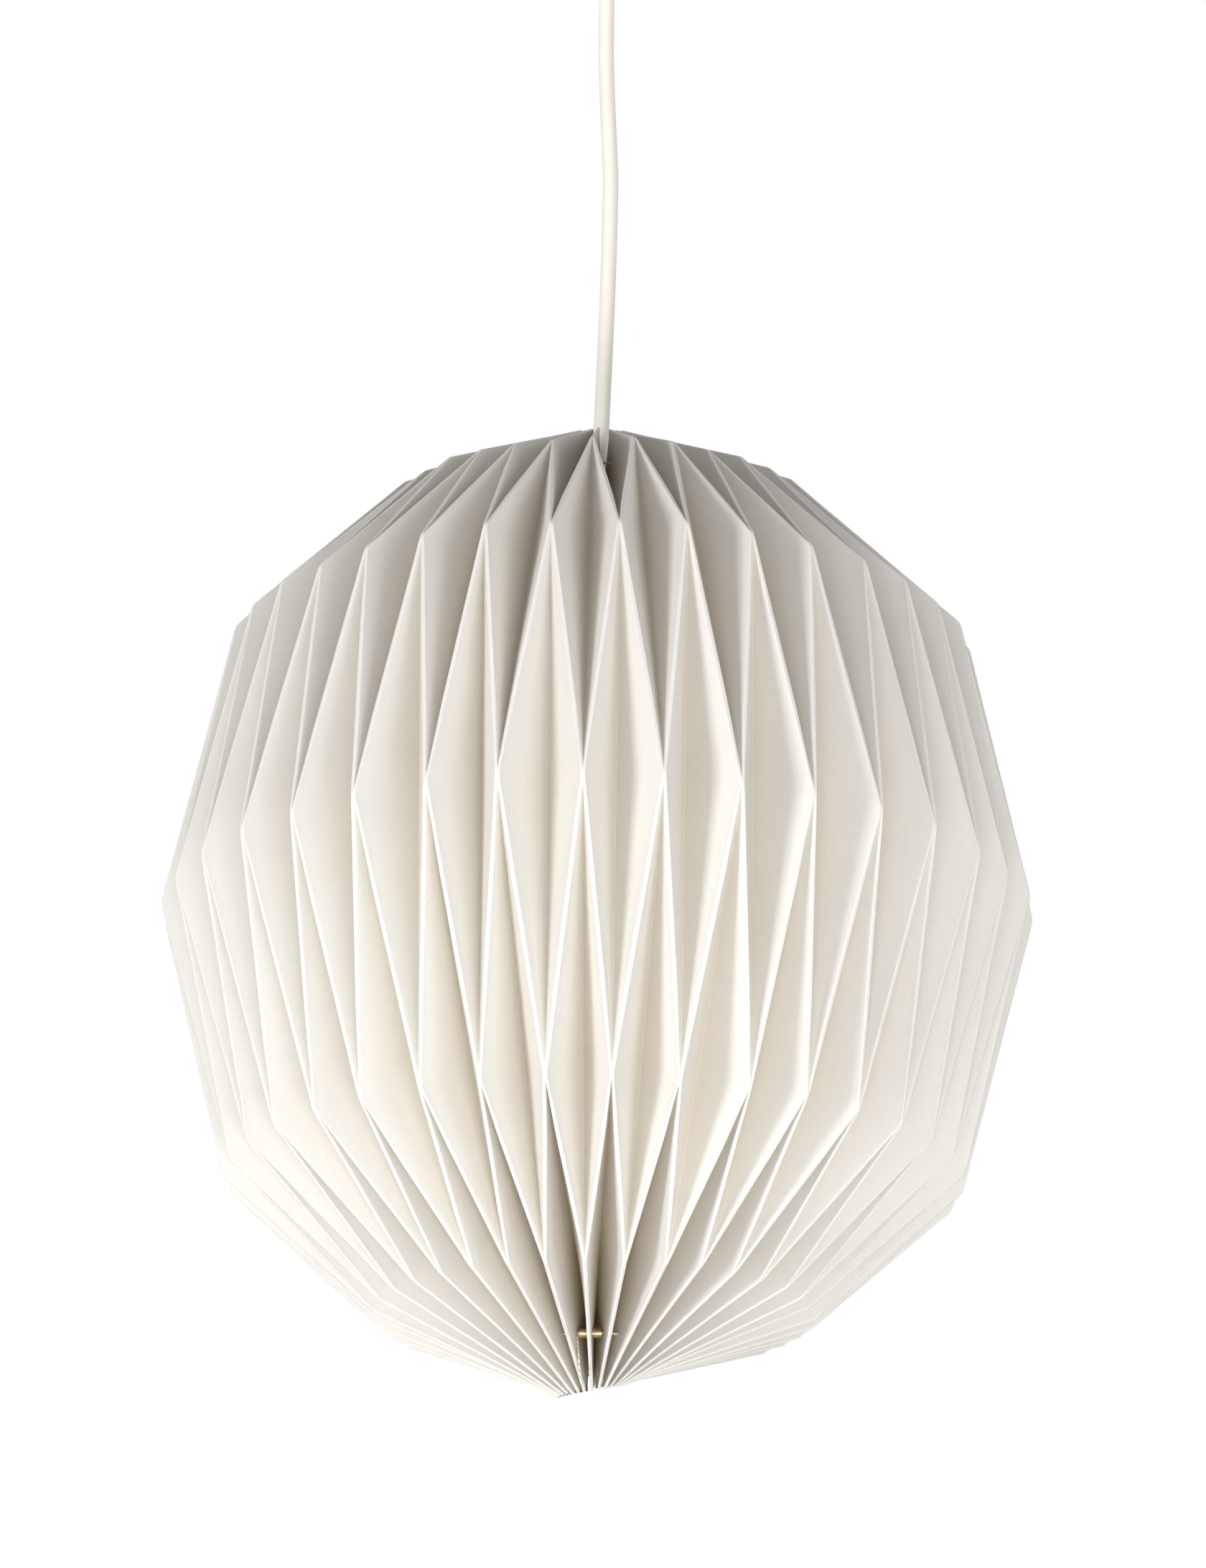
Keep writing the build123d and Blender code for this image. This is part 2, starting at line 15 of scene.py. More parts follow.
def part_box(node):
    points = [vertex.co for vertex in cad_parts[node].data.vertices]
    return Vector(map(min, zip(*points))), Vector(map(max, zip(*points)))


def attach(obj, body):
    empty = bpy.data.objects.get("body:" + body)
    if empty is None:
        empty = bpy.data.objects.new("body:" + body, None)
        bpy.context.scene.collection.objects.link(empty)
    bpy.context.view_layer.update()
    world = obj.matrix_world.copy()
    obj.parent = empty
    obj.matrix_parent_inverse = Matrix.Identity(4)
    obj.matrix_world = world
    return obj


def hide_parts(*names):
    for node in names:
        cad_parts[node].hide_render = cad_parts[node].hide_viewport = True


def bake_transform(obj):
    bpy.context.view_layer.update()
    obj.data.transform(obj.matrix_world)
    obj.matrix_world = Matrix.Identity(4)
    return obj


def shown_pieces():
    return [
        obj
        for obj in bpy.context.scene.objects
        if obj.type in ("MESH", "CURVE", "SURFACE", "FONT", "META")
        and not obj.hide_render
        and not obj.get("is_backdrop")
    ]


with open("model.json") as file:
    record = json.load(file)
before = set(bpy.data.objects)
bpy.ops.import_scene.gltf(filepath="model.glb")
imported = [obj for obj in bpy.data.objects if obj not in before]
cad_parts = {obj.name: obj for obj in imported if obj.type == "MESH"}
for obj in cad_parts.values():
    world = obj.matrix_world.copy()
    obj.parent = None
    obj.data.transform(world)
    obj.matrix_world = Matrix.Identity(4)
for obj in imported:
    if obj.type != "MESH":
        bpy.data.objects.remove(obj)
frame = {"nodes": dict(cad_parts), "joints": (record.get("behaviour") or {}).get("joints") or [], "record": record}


def whole_box(names):
    lows = np.array([list(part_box(name)[0]) for name in names])
    highs = np.array([list(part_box(name)[1]) for name in names])
    return lows.min(0), highs.max(0)


MM = 0.001
rng = np.random.default_rng(20)

# ------------------------------------------------------------------ places in the CAD frame
SHADE_RISE, SHADE_DROP = 225.0, 216.0  # mm of paper above and below the widest ring
leaf_low, leaf_high = whole_box([n for n in frame["nodes"] if n.startswith("paper_leaf_")])
SHADE_Z = (leaf_low[2] * SHADE_RISE + leaf_high[2] * SHADE_DROP) / (SHADE_RISE + SHADE_DROP)
LEAF_BODIES = sorted({j["child"] for j in frame["joints"] if j["name"].startswith("fold_")})
PIVOT_Z = next(j for j in frame["joints"] if j["name"] == "sway_forward")["pos_m"][2]


# ------------------------------------------------------------------ mesh helpers
def add_object(name, data):
    body = bpy.data.objects.new(name, data)
    bpy.context.scene.collection.objects.link(body)
    return body


def mesh_object(name, verts, faces, smooth=True, normals=None):
    """An object from faces that all have the same number of corners."""
    mesh = bpy.data.meshes.new(name)
    verts = np.asarray(verts, np.float32)
    mesh.vertices.add(len(verts))
    mesh.vertices.foreach_set("co", verts.ravel())
    faces = np.asarray(faces, np.int32)
    count, corners = faces.shape
    mesh.loops.add(count * corners)
    mesh.loops.foreach_set("vertex_index", faces.ravel())
    mesh.polygons.add(count)
    mesh.polygons.foreach_set("loop_start", np.arange(count, dtype=np.int32) * corners)
    mesh.polygons.foreach_set("use_smooth", np.full(count, smooth))
    mesh.update(calc_edges=True)
    mesh.validate()
    if normals is not None:
        mesh.normals_split_custom_set_from_vertices([tuple(n) for n in normals])
    return add_object(name, mesh)


def lathe(name, profile, count, sharp_degrees=35):
    """Turned body about z from a closed (radius, z) profile."""
    profile = np.array(profile, float)
    size = len(profile)
    angle = np.linspace(0, 2 * math.pi, count, endpoint=False)
    verts = np.stack(
        [
            np.outer(np.cos(angle), profile[:, 0]),
            np.outer(np.sin(angle), profile[:, 0]),
            np.tile(profile[:, 1], (count, 1)),
        ],
        -1,
    ).reshape(-1, 3)
    i, j = np.meshgrid(np.arange(count), np.arange(size), indexing="ij")
    i2, j2 = (i + 1) % count, (j + 1) % size
    faces = np.stack([i * size + j, i * size + j2, i2 * size + j2, i2 * size + j], -1)
    body = mesh_object(name, verts, faces.reshape(-1, 4))
    body.data.shade_smooth()
    body.data.set_sharp_from_angle(angle=math.radians(sharp_degrees))
    return body


def smooth_curve(points, steps):
    """Catmull-Rom curve through the points, with this many steps from each to the next."""
    points = np.array(points, float)
    last = len(points) - 1
    curve = []
    for i in range(last):
        a, b, c, d = points[max(i - 1, 0)], points[i], points[i + 1], points[min(i + 2, last)]
        for t in np.linspace(0, 1, steps, endpoint=False):
            curve.append(
                0.5
                * (
                    2 * b
                    + (c - a) * t
                    + (2 * a - 5 * b + 4 * c - d) * t * t
                    + (3 * b - a - 3 * c + d) * t**3
                )
            )
    curve.append(points[-1])
    return np.array(curve)


def sweep(name, path, radius, sides):
    """A round, capped tube along a path."""
    count = len(path)
    tangents = np.gradient(path, axis=0)
    tangents /= np.linalg.norm(tangents, axis=1)[:, None]
    across = np.array([1.0, 0, 0]) if abs(tangents[0, 0]) < 0.9 else np.array([0, 1.0, 0])
    angle = np.linspace(0, 2 * math.pi, sides, endpoint=False)
    rings = []
    for centre, tangent in zip(path, tangents):
        # carry the cross direction along, so that the tube doesn't twist
        across = across - tangent * (across @ tangent)
        across /= np.linalg.norm(across)
        third = np.cross(tangent, across)
        circle = np.outer(np.cos(angle), across) + np.outer(np.sin(angle), third)
        rings.append(centre + radius * circle)
    verts = np.concatenate(rings + [path[:1], path[-1:]])
    i, j = np.meshgrid(np.arange(count - 1), np.arange(sides), indexing="ij")
    j2 = (j + 1) % sides
    quads = np.stack(
        [i * sides + j, i * sides + j2, (i + 1) * sides + j2, (i + 1) * sides + j], -1
    ).reshape(-1, 4)
    faces = [tuple(quad) for quad in quads]
    start, end, last_ring = count * sides, count * sides + 1, (count - 1) * sides
    for j in range(sides):
        faces.append((start, (j + 1) % sides, j))
        faces.append((end, last_ring + j, last_ring + (j + 1) % sides))
    mesh = bpy.data.meshes.new(name)
    mesh.from_pydata([tuple(v) for v in verts], [], faces)
    for face in mesh.polygons:
        face.use_smooth = True
    mesh.update()
    return add_object(name, mesh)


# ------------------------------------------------------------------ shader helpers
def feed(tree, node, inputs):
    """Sets a node's inputs: a socket is linked, anything else becomes the value."""
    for key, value in inputs.items():
        if isinstance(value, bpy.types.NodeSocket):
            tree.links.new(value, node.inputs[key])
        else:
            node.inputs[key].default_value = value


def add_node(tree, kind, inputs=None, **settings):
    node = tree.nodes.new(kind)
    for key, value in settings.items():
        setattr(node, key, value)
    feed(tree, node, inputs or {})
    return node


class Surface:
    """A material around a Principled shader, with the textures that feed it."""

    def __init__(self, name):
        self.material = bpy.data.materials.new(name)
        self.material.use_nodes = True
        self.tree = self.material.node_tree
        self.shader = self.tree.nodes["Principled BSDF"]
        self.place = self.coords((1, 1, 1))

    def add(self, kind, inputs=None, **settings):
        return add_node(self.tree, kind, inputs, **settings)

    def set(self, **inputs):
        """Shader inputs by name, with _ for a space."""
        feed(self.tree, self.shader, {k.replace("_", " "): v for k, v in inputs.items()})

    def coords(self, scale):
        source = self.add("ShaderNodeTexCoord")
        inputs = {"Vector": source.outputs["Object"], "Scale": scale}
        return self.add("ShaderNodeMapping", inputs).outputs["Vector"]

    def noise(self, scale, detail=4, roughness=0.6, at=None):
        inputs = {
            "Vector": at or self.place,
            "Scale": scale,
            "Detail": detail,
            "Roughness": roughness,
        }
        return self.add("ShaderNodeTexNoise", inputs).outputs["Fac"]

    def ramp(self, factor, stops):
        """stops are (position, grey or rgb)."""
        ramp = self.add("ShaderNodeValToRGB", {"Fac": factor})
        elements = ramp.color_ramp.elements
        while len(elements) < len(stops):
            elements.new(0.5)
        for element, (position, colour) in zip(elements, stops):
            element.position = position
            rgb = (colour,) * 3 if isinstance(colour, (int, float)) else colour
            element.color = (*rgb, 1)
        return ramp.outputs["Color"]

    def mix(self, factor, first, second, blend="MIX"):
        inputs = {0: factor, 6: first, 7: second}  # 6 and 7 are the colours A and B
        mix = self.add("ShaderNodeMix", inputs, data_type="RGBA", blend_type=blend)
        return mix.outputs[2]

    def bump(self, height, distance, strength, after=None):
        """Bumps the shader's normal, on top of an earlier bump if one is given."""
        inputs = {"Distance": distance, "Strength": strength, "Height": height}
        if after is not None:
            inputs["Normal"] = after
        normal = self.add("ShaderNodeBump", inputs).outputs["Normal"]
        self.set(Normal=normal)
        return normal


# ------------------------------------------------------------------ materials
def paper_material():
    s = Surface("of_paper")
    # slow tone changes, fine fibres and a few specks
    tone = s.ramp(
        s.noise(scale=9, detail=3, roughness=0.5),
        [(0.3, (0.805, 0.792, 0.770)), (0.7, (0.845, 0.834, 0.814))],
    )
    fibres = s.noise(scale=900, detail=3, roughness=0.65, at=s.coords((1, 1, 0.35)))
    fibre_tone = s.ramp(fibres, [(0.3, (0.965, 0.96, 0.95)), (0.6, 1)])
    sheet = s.mix(0.7, tone, fibre_tone, blend="MULTIPLY")
    cells = s.add("ShaderNodeTexVoronoi", {"Vector": s.place, "Scale": 62}, feature="F1")
    speck_mask = s.ramp(cells.outputs["Distance"], [(0.022, 1), (0.035, 0)])
    specked = s.mix(speck_mask, sheet, (0.74, 0.68, 0.6, 1))
    # painted shade: the sheet's colour is darkened and warmed by groove depth, standing in for the shade and
    # bounced light down in the narrow grooves
    depth = s.add("ShaderNodeAttribute", attribute_name="of_depth")
    painted_groove_shade = s.ramp(
        depth.outputs["Fac"],
        [
            (0.03, (1.0, 1.0, 1.0)),
            (0.15, (0.985, 0.973, 0.95)),
            (0.35, (0.955, 0.925, 0.865)),
            (0.65, (0.91, 0.85, 0.75)),
            (1.0, (0.90, 0.77, 0.56)),
        ],
    )
    s.set(
        Base_Color=s.mix(1.0, specked, painted_groove_shade, blend="MULTIPLY"),
        Roughness=s.ramp(s.noise(scale=140, detail=3), [(0.3, 0.62), (0.7, 0.78)]),
        Specular_IOR_Level=0.25,
    )
    grain = s.noise(scale=1500, detail=4, roughness=0.7)
    grained = s.bump(grain, distance=0.00006, strength=0.5)
    cockle = s.noise(scale=26, detail=2, roughness=0.45)
    s.bump(cockle, distance=0.0009, strength=0.35, after=grained)
    # a little light passes through the sheet
    through = s.add("ShaderNodeBsdfTranslucent", {"Color": (0.94, 0.89, 0.79, 1)})
    both = s.add(
        "ShaderNodeMixShader", {0: 0.18, 1: s.shader.outputs[0], 2: through.outputs[0]}
    )
    feed(s.tree, s.tree.nodes["Material Output"], {"Surface": both.outputs[0]})
    return s.material


def thread_material():
    s = Surface("of_thread")
    wave = s.add(
        "ShaderNodeTexWave",
        {"Vector": s.place, "Scale": 480, "Distortion": 1.5},
        wave_type="BANDS",
        bands_direction="DIAGONAL",
    ).outputs["Fac"]
    s.set(
        Base_Color=s.ramp(wave, [(0.1, (0.36, 0.30, 0.23)), (0.7, (0.78, 0.72, 0.63))]),
        Roughness=0.7,
        Sheen_Weight=0.3,
    )
    s.bump(wave, distance=0.00012, strength=0.7)
    return s.material


def cord_material():
    s = Surface("of_cord")
    streaks = s.noise(scale=60, at=s.coords((1, 1, 0.3)))
    s.set(
        Base_Color=s.ramp(streaks, [(0.3, (0.80, 0.765, 0.70)), (0.7, (0.86, 0.83, 0.775))]),
        Roughness=s.ramp(s.noise(scale=260), [(0.3, 0.36), (0.7, 0.5)]),
        Specular_IOR_Level=0.45,
    )
    grained = s.bump(s.noise(scale=700, detail=3), distance=0.00003, strength=0.5)
    long_waves = s.noise(scale=90, detail=2, at=s.coords((1, 1, 0.15)))
    s.bump(long_waves, distance=0.0003, strength=0.25, after=grained)
    return s.material


def glass_material():
    s = Surface("of_bulb_glass")
    s.set(
        Base_Color=(0.97, 0.98, 0.98, 1),
        Transmission_Weight=1.0,
        IOR=1.45,
        Roughness=s.ramp(s.noise(scale=80, detail=3), [(0.3, 0.02), (0.8, 0.07)]),
    )
    s.bump(s.noise(scale=40, detail=2), distance=0.0001, strength=0.3)
    return s.material


def plastic(name, colour, roughness, grain=0.00004):
    """grain is the height of the fine bumps in metres."""
    s = Surface(name)
    shade = [c * 0.965 for c in colour]
    s.set(
        Base_Color=s.ramp(s.noise(scale=60), [(0.35, shade), (0.65, colour)]),
        Roughness=s.ramp(
            s.noise(scale=300, detail=5), [(0.3, roughness * 0.85), (0.75, roughness * 1.25)]
        ),
        Specular_IOR_Level=0.5,
    )
    s.bump(s.noise(scale=1400, detail=3), distance=grain, strength=0.6)
    return s.material


def metal(name, colour, roughness, brushed, dark):
    """brushed stretches the brush marks by axis; dark is how dull the darker patches are."""
    s = Surface(name)
    marks = s.coords(brushed)
    patches = s.noise(scale=220, detail=5)
    s.set(
        Base_Color=s.ramp(patches, [(0.3, [c * dark for c in colour]), (0.6, colour)]),
        Metallic=1.0,
        Roughness=s.ramp(
            s.noise(scale=160, at=marks), [(0.3, roughness * 0.7), (0.7, roughness * 1.4)]
        ),
    )
    s.bump(s.noise(scale=500, at=marks), distance=0.00005, strength=0.5)
    return s.material


RINGED, EVEN_GRAIN = (1, 1, 30), (1, 1, 1)  # brush marks round the z axis, and none
MATERIALS = {
    "paper": paper_material(),
    "thread": thread_material(),
    "sleeve_metal": metal(
        "of_sleeve_metal", (0.60, 0.48, 0.31), roughness=0.36, brushed=(30, 1, 1), dark=0.45
    ),
    "cord": cord_material(),
    "bracket_steel": metal(
        "of_bracket_steel", (0.72, 0.73, 0.74), roughness=0.35, brushed=(1, 25, 1), dark=0.8
    ),
    "screw_steel": metal(
        "of_screw_steel", (0.68, 0.68, 0.67), roughness=0.28, brushed=EVEN_GRAIN, dark=0.7
    ),
    "white_plastic": plastic("of_white_plastic", (0.86, 0.855, 0.835), roughness=0.34),
    "clear_nylon": plastic("of_nylon", (0.83, 0.81, 0.74), roughness=0.45),
    "porcelain": plastic("of_porcelain", (0.88, 0.87, 0.83), roughness=0.14, grain=0.00002),
    "contact_brass": metal(
        "of_contact_brass", (0.85, 0.64, 0.30), roughness=0.27, brushed=RINGED, dark=0.6
    ),
    "live_insulation": plastic("of_live", (0.28, 0.13, 0.06), roughness=0.36),
    "neutral_insulation": plastic("of_neutral", (0.06, 0.16, 0.5), roughness=0.36),
    "bulb_glass": glass_material(),
    "bulb_black": plastic("of_black_glass", (0.02, 0.02, 0.025), roughness=0.15),
    "bulb_cap_metal": metal(
        "of_bulb_cap", (0.82, 0.82, 0.82), roughness=0.26, brushed=RINGED, dark=0.75
    ),
    "solder": metal(
        "of_solder", (0.62, 0.62, 0.63), roughness=0.42, brushed=EVEN_GRAIN, dark=0.6
    ),
    "filament": plastic("of_filament", (0.93, 0.66, 0.2), roughness=0.5),
}


def put_material(body, slot):
    body.data.materials.clear()
    body.data.materials.append(MATERIALS[slot])


def dress(body, slot):
    put_material(body, slot)


slots = {part["node"]: part["material_slot"] for part in frame["record"]["subparts"]}
for name, body in frame["nodes"].items():
    put_material(body, slots[name])

# ------------------------------------------------------------------ pleated paper (mm)
# The flat sheet has upright creases, here called columns, and a slanting crease, the ridge,
# between each two. u runs along the ring on the flat sheet, t down from its upper edge.
# Column 0 is the seam, at the front; the numbers run round by the right.
PLEATS = 36
COLUMNS = 2 * PLEATS
COLUMN_DEGREES = 180.0 / PLEATS
COLUMN_GAP = 33.0  # flat width of a half pleat
RIDGE_MARGIN = 0.4  # least flat distance between a ridge and a column
THICKNESS = 0.30
CORNER_T = np.cumsum([0, 90.1, 87.6, 121.9, 119.4, 82.8, 85.5])  # rows of corners
SHEET_END = CORNER_T[6]
# row: (radius, z) of the corners. Even-numbered columns turn at the odd rows,
# odd-numbered ones at the even rows, and all have both ends.
CORNERS_EVEN_COLUMN = {
    0: (18.0, SHADE_RISE),
    1: (98.0, 186.5),
    3: (190.0, -2.0),
    5: (94.0, -181.0),
    6: (16.0, -SHADE_DROP),
}
CORNERS_ODD_COLUMN = {0: (5.5, 197.0), 2: (163.5, 120.5), 4: (159.0, -121.0), 6: (5.5, -187.0)}

CREASE_HALF = 0.75  # half width of the rounding at a crease
SOFT_HALF, SOFT_SHARE = 5.5, 0.13  # a wider rounding, and how much of it is mixed in
FACET_STEPS = 12  # steps across a facet, between a column and a ridge
CREASE_STEPS = np.array([0, 0.28, 0.62, 1.05, 1.7, 4.2])  # flat distance of samples from a crease
# how far a ridge's band stands proud of its facet, by steps from the ridge
BAND_OUT = np.array([0, 0.40, 0.56, 0.47, 0.34, 0.08, 0, 0, 0, 0, 0, 0, 0])
WAVE_HEIGHT = 0.16
LEAF_COLUMNS = 4
LEAF_STEPS = LEAF_COLUMNS * 2 * FACET_STEPS

CORNER_SPREAD = (0.22, 0.45, 0.45)  # unevenness of a corner: degrees, radius, z
unevenness = {
    (column, row): [rng.normal(0, spread) for spread in CORNER_SPREAD]
    for column in range(COLUMNS)
    for row in range(7)
}


def sheet_levels():
    """Heights t of the mesh rows, closer together near the corners and the edges."""
    levels = set(np.round(np.linspace(0, SHEET_END, 118), 3))
    near = (-7, -5, -3.6, -2.6, -1.7, -0.9, 0, 0.9, 1.7, 2.6, 3.6, 5, 7)
    for corner in CORNER_T[1:6]:
        levels |= {round(corner + d, 3) for d in near}
    levels |= {round(t, 3) for t in (0.6, 1.4, SHEET_END - 0.6, SHEET_END - 1.4)}
    levels = sorted(levels)
    kept = levels[:1]
    for level in levels[1:]:
        if level - kept[-1] > 0.45:
            kept.append(level)
    kept[-1] = SHEET_END
    return np.array(kept)


def hub_turn(column, t):
    """Extra degrees of a column near the hubs: pleats beside the seam stand a little apart."""
    angle = (column * COLUMN_DEGREES + 180) % 360 - 180
    reach = CORNER_T[1] * 1.1
    top = np.clip((reach - t) / reach, 0, 1)
    low = np.clip((t - CORNER_T[5] + 6) / (SHEET_END - CORNER_T[5] + 6), 0, 1)

    def part(at, half, width):
        """Degrees away from the angle at, half at most and fading over width."""
        d = (angle - at + 180) % 360 - 180
        if abs(d) <= 1e-6:
            return 0.0
        return math.copysign(half, d) * max(0.0, 1 - abs(d) / width)

    # the back of the lower hub sits half a pleat round from the front
    round_back = COLUMN_DEGREES * (1 - math.cos(math.radians(angle))) / 2
    return part(5, 4.0, 60) * top + (part(-5, 1.0, 50) + part(5, 0.8, 50) + round_back) * low


def low_end(column):
    """(radius, z) of a column's lower end; the ring of ends is higher at the back and right."""
    angle = math.radians(column * COLUMN_DEGREES)
    rise = 3.7 * (1 - math.cos(angle)) + 3.0 * math.sin(angle)
    if column % 2 == 0:
        (r_above, z_above), (r_end, z_end) = CORNERS_EVEN_COLUMN[5], CORNERS_EVEN_COLUMN[6]
    else:
        (r_above, z_above), (r_end, z_end) = CORNERS_ODD_COLUMN[4], CORNERS_ODD_COLUMN[6]
        rise *= 0.8
    # the last length of crease keeps its length, so a higher end lies nearer the axis or past it
    length = math.hypot(r_above - r_end, z_above - z_end)
    z = z_end + rise
    return max(2.9, r_above - math.sqrt(length**2 - (z_above - z) ** 2)), z


def corner(column, row):
    table = CORNERS_EVEN_COLUMN if column % 2 == 0 else CORNERS_ODD_COLUMN
    radius, z = low_end(column) if row == 6 else table[row]
    d_angle, d_radius, d_z = unevenness[column, row]
    if row in (0, 6):
        d_angle, d_radius, d_z = d_angle * 0.6, d_radius * 0.35, d_z * 0.5
    turn = hub_turn(column, CORNER_T[row])
    angle = math.radians(column * COLUMN_DEGREES + d_angle + turn)
    radius += d_radius
    return np.array([radius * math.sin(angle), -radius * math.cos(angle), z + d_z])


def line_through(t, rows, corners):
    corners = np.array(corners)
    return np.stack([np.interp(t, CORNER_T[rows], corners[:, k]) for k in range(3)], -1)


def column_line(column, t):
    rows = [0, 1, 3, 5, 6] if column % 2 == 0 else [0, 2, 4, 6]
    return line_through(t, rows, [corner(column, row) for row in rows])


def ridge_line(even, odd, lines, t):
    """(flat distance from the even column, point) of the ridge between two columns."""
    touched = [even, even, odd, even, odd, even, even]
    points = line_through(t, range(7), [corner(c, row) for row, c in enumerate(touched)])
    u = np.interp(t, CORNER_T, [COLUMN_GAP * (c == odd) for c in touched])
    # keep the ridge just clear of both columns
    clear_u = np.clip(u, RIDGE_MARGIN, COLUMN_GAP - RIDGE_MARGIN)
    share = ((clear_u - u) / COLUMN_GAP)[:, None]
    towards = np.where(share > 0, lines[odd], lines[even])
    return clear_u, points + (towards - points) * np.abs(share)


def sheet_rows(t):
    """u and point of every crease, in order round the ring, at flat heights t."""
    lines = [column_line(c, t) for c in range(COLUMNS)]
    breaks, points = [], []
    for c in range(0, COLUMNS, 2):
        start = c * COLUMN_GAP
        u1, ridge1 = ridge_line(c, c + 1, lines, t)
        u2, ridge2 = ridge_line((c + 2) % COLUMNS, c + 1, lines, t)
        breaks += [
            np.full(len(t), start),
            start + u1,
            np.full(len(t), start + COLUMN_GAP),
            start + 2 * COLUMN_GAP - u2,
        ]
        points += [lines[c], ridge1, lines[c + 1], ridge2]
    breaks.append(np.full(len(t), COLUMNS * COLUMN_GAP))
    points.append(lines[0])
    return np.stack(breaks, 1), np.stack(points, 1)


def box_mean(breaks, points, u, half):
    """Mean of the closed piecewise-linear ring over u - half to u + half."""
    period = COLUMNS * COLUMN_GAP
    widths = np.diff(breaks)
    pieces = (points[1:] + points[:-1]) / 2 * widths[:, None]
    sums = np.concatenate([np.zeros((1, 3)), np.cumsum(pieces, 0)])

    def integral(x):
        turns = np.floor(x / period)
        y = x - turns * period
        i = np.clip(np.searchsorted(breaks, y, side="right") - 1, 0, len(widths) - 1)
        s = (y - breaks[i])[:, None]
        slope = (points[i + 1] - points[i]) / widths[i][:, None]
        return sums[i] + points[i] * s + slope * s * s / 2 + turns[:, None] * sums[-1]

    return (integral(u + half) - integral(u - half)) / (2 * half)


def facet_samples(width):
    """Flat distances across a facet, close together at both creases, without the last."""
    near = np.zeros(FACET_STEPS)
    for i in range(FACET_STEPS):
        j = min(i, FACET_STEPS - i)
        x = width / 2
        if j < len(CREASE_STEPS):
            x = min(CREASE_STEPS[j], width * j / FACET_STEPS)
        near[i] = x if i <= FACET_STEPS // 2 else width - x
    return near


def row_samples(breaks, points):
    """For one row's samples: u, groove depth, share across the facet and facet width.

    The depth is the flat distance from the ridge over the gap between the groove's two ridges.
    """
    ridges = points[1::2]
    u, depth, across, width = [], [], [], []
    for c in range(COLUMNS):
        start, ridge, end = breaks[2 * c : 2 * c + 3]
        gap_before = np.linalg.norm(ridges[c] - ridges[(c - 1) % COLUMNS]) + 0.6
        gap_after = np.linalg.norm(ridges[c] - ridges[(c + 1) % COLUMNS]) + 0.6
        before, after = facet_samples(ridge - start), facet_samples(end - ridge)
        u += [start + before, ridge + after]
        depth += [(ridge - start - before) / gap_before, after / gap_after]
        across += [before / (ridge - start), after / (end - ridge)]
        width += [np.full(FACET_STEPS, ridge - start), np.full(FACET_STEPS, end - ridge)]
    return [np.concatenate(values) for values in (u, depth, across, width)]


def folded_ring(levels):
    """Points, groove depth, share across the facet and facet width, by row and sample."""
    rows = []
    for t, breaks, points in zip(levels, *sheet_rows(levels)):
        u, depth, across, width = row_samples(breaks, points)
        sharp = box_mean(breaks, points, u, CREASE_HALF)
        soft = box_mean(breaks, points, u, SOFT_HALF)
        inside = min(1.0, min(t, SHEET_END - t) / 25.0)
        share = SOFT_SHARE * (0.3 + 0.7 * inside)
        rows.append((sharp * (1 - share) + soft * share, depth, across, width))
    return [np.array(values) for values in zip(*rows)]


def soften_rows(ring, levels):
    """Eases the corners down the sheet, so that they are not knife sharp."""
    eased = ring.copy()
    for n in range(1, len(levels) - 1):
        a, b = levels[n] - levels[n - 1], levels[n + 1] - levels[n]
        eased[n] = ring[n] * 0.6 + 0.4 * (ring[n - 1] * b + ring[n + 1] * a) / (a + b)
    return eased


def outward_normals(ring):
    down = np.concatenate([ring[1:2] - ring[:1], ring[2:] - ring[:-2], ring[-1:] - ring[-2:-1]])
    along = np.roll(ring, -1, 1) - np.roll(ring, 1, 1)
    normals = np.cross(down, along)
    return normals / (np.linalg.norm(normals, axis=2)[:, :, None] + 1e-12)


def surface_detail(ring, levels, across, width):
    """Adds each facet's slight waviness and the narrow raised band along each ridge."""
    normals = outward_normals(ring)
    facets = 2 * COLUMNS
    phase = rng.uniform(0, 2 * math.pi, (facets, 3))
    facet = np.repeat(np.arange(facets), FACET_STEPS)
    steps = np.arange(FACET_STEPS)
    ridge_step = np.tile(np.concatenate([FACET_STEPS - steps, steps]), COLUMNS)
    t = levels[:, None]

    bell = np.sin(np.pi * across) ** 1.2 * np.clip(width / 15.0, 0, 1)
    wave = (
        np.sin(t / 31.0 + phase[facet, 0])
        + 0.6 * np.sin(t / 16.0 + phase[facet, 1] + across * 3)
        + 0.9 * np.sin(t / 60.0 + phase[facet, 2])
    )
    edge_fade = np.clip(np.minimum(t, SHEET_END - t) / 20.0, 0.15, 1)
    wave = wave * bell * edge_fade * WAVE_HEIGHT

    # the bands beside the seam stand out further down at the lower hub
    band = BAND_OUT[ridge_step] * np.clip((width - 2) / 8.0, 0, 1)
    beside_seam = (facet == 0) | (facet == facets - 1)
    band = band * (1 + 1.3 * (np.clip((t - CORNER_T[5]) / 20.0, 0, 1) * beside_seam))
    facet_normals = normals[:, facet * FACET_STEPS + FACET_STEPS // 2]
    return ring + normals * wave[:, :, None] + facet_normals * band[:, :, None]


